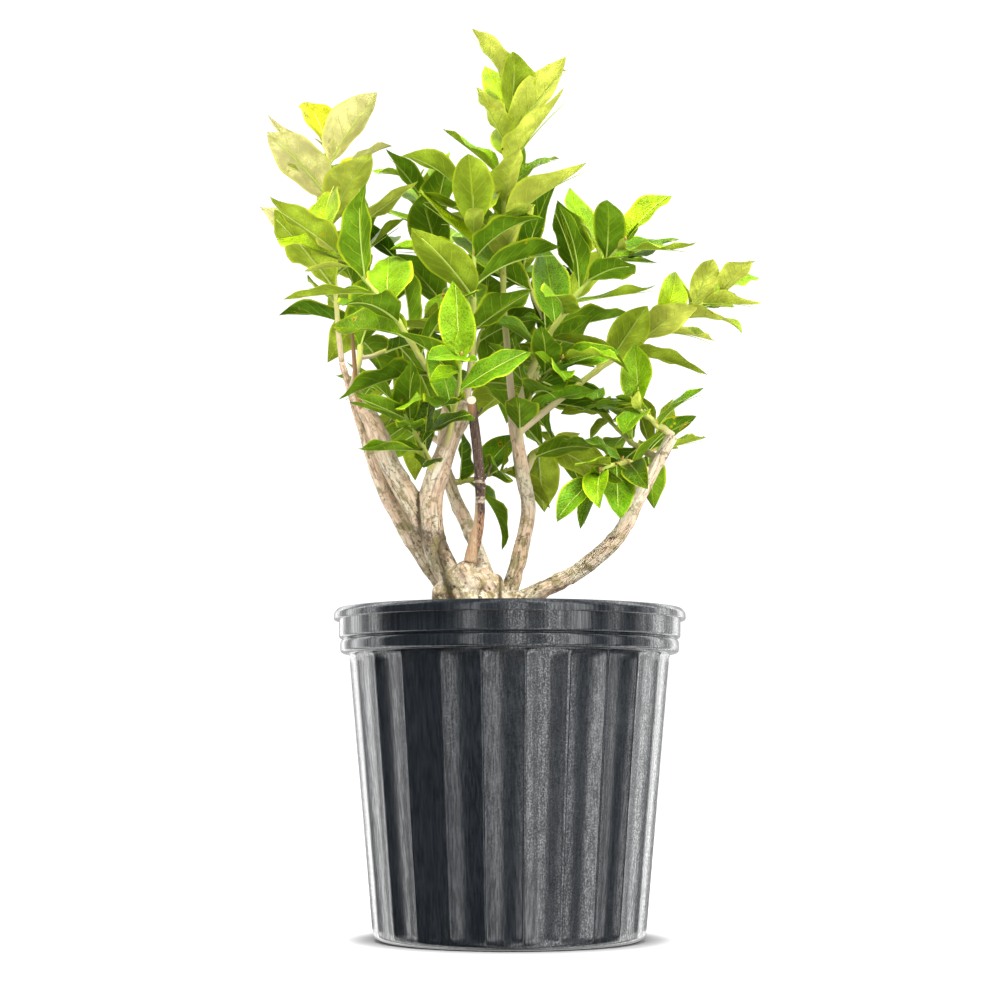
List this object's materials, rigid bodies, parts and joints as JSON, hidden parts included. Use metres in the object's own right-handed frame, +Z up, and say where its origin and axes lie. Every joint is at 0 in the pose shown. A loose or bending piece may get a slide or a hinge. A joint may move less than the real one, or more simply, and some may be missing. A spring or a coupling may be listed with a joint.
{
  "type": "potted blueberry bush",
  "caption": "Young leafy blueberry bush with several woody stems rising from a root crown in a round fluted black plastic nursery pot filled with bark soil.",
  "frame": {"origin": "centre of the pot's flat underside, on the surface that the pot stands on", "axes": "+Z up along the pot's axis; the side seen in the picture faces -Y, and +X is to its right"},
  "size_m": [0.3838, 0.3489, 0.6675],
  "materials": {
    "pot_plastic": "satin black, finely streaked",
    "soil": "moist shredded bark mix",
    "bark": "pale peeling bark",
    "dead_wood": "dark dry wood",
    "foliage": "fresh green leaves on green shoots"
  },
  "bodies": {
    "root": {"pot": "pot_plastic", "soil": "soil", "root_crown": "bark", "outer_left_stem": "bark", "left_stem": "bark", "main_stem": "bark", "dead_stub": "dead_wood", "back_stem": "bark", "middle_stem": "bark", "right_stem": "bark", "dead_twig": "dead_wood", "top_left_leaves": "foliage", "arch_left_leaves": "foliage", "centre_left_leaves": "foliage", "leader_leaves": "foliage", "right_fore_leaves": "foliage", "far_right_leaves": "foliage", "right_up_leaves": "foliage", "right_in_leaves": "foliage", "mid_right_leaves": "foliage", "mid_left_leaves": "foliage", "behind_stub_leaves": "foliage", "back_left_leaves": "foliage", "back_mid_leaves": "foliage", "back_right_leaves": "foliage", "back_low_leaves": "foliage", "back_out_leaves": "foliage", "front_low_leaves": "foliage", "right_back_leaves": "foliage", "mid_back_leaves": "foliage"}
  },
  "joints": []
}
